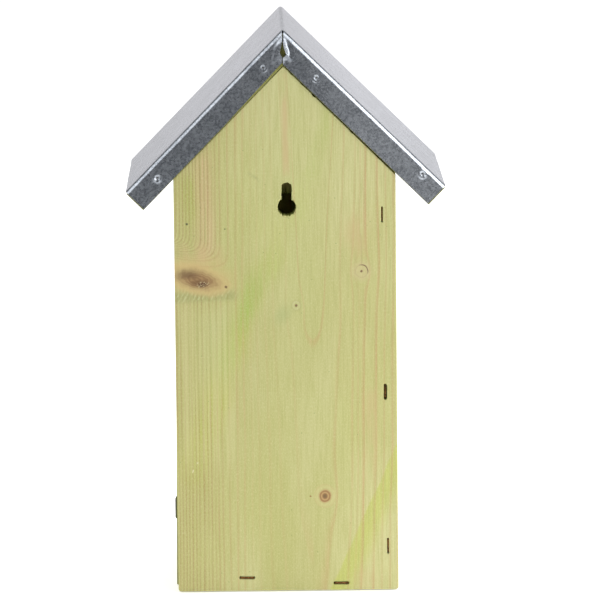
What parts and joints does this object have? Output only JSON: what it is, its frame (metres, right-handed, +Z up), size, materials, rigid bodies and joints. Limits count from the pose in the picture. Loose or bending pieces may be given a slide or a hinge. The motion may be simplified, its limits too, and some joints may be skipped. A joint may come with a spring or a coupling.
{
  "type": "nest box",
  "caption": "Wooden wall-hung nest box with a round entrance, a side cleaning door on two pins, a keyhole back and a folded sheet-steel gable roof.",
  "frame": {"origin": "on the surface that the box stands on, under the middle of the roof's box", "axes": "+Z up, +Y out of the back panel (the side that goes against a wall or tree), -Y out of the front with the entrance, +X on the side of the cleaning door"},
  "size_m": [0.172, 0.157, 0.3054],
  "materials": {
    "panel_pine": "planed, pressure treated, matt",
    "roof_pine": "sawn, pressure treated, matt",
    "roof_steel": "galvanised, satin with a fine spangle",
    "staple_wire": "lacquered wire",
    "bright_wire": "zinc plated wire"
  },
  "bodies": {
    "box": {"back_panel": "panel_pine", "front_panel": "panel_pine", "fixed_side": "panel_pine", "floor_board": "panel_pine", "roof_board_door_side": "roof_pine", "roof_board_fixed_side": "roof_pine", "roof_sheet": "roof_steel", "pivot_pin_back": "bright_wire", "pivot_pin_front": "bright_wire", "staple_back_side_top": "staple_wire", "staple_back_side_middle": "staple_wire", "staple_back_side_bottom": "staple_wire", "staple_back_floor_door_side": "staple_wire", "staple_back_floor_fixed_side": "staple_wire", "staple_front_side_top": "staple_wire", "staple_front_side_middle": "staple_wire", "staple_front_side_bottom": "staple_wire", "staple_front_floor_door_side": "staple_wire", "staple_front_floor_fixed_side": "staple_wire", "staple_roof_door_side_back_upper": "staple_wire", "staple_roof_door_side_back_lower": "staple_wire", "staple_roof_door_side_front_upper": "staple_wire", "staple_roof_door_side_front_lower": "staple_wire", "staple_roof_fixed_side_back_upper": "staple_wire", "staple_roof_fixed_side_back_lower": "staple_wire", "staple_roof_fixed_side_front_upper": "staple_wire", "staple_roof_fixed_side_front_lower": "staple_wire", "staple_ridge_back": "staple_wire", "staple_ridge_front": "staple_wire", "brad_back_door_side_ridge": "bright_wire", "brad_back_door_side_eave": "bright_wire", "brad_back_fixed_side_ridge": "bright_wire", "brad_back_fixed_side_eave": "bright_wire", "brad_front_door_side_ridge": "bright_wire", "brad_front_door_side_eave": "bright_wire", "brad_front_fixed_side_ridge": "bright_wire", "brad_front_fixed_side_eave": "bright_wire"},
    "door": {"side_door": "panel_pine"},
    "latch": {"latch_hook": "bright_wire"}
  },
  "joints": [
    {"name": "door_swing", "type": "hinge", "parent": "box", "child": "door", "pos_m": [0.0532, 0.015, 0.20152], "axis": [0, -1, 0], "range_deg": [-0.5, 90]},
    {"name": "latch_turn", "type": "hinge", "parent": "box", "child": "latch", "pos_m": [0.06, -0.041, 0.032], "axis": [1, 0, 0], "range_deg": [0, 90]}
  ]
}
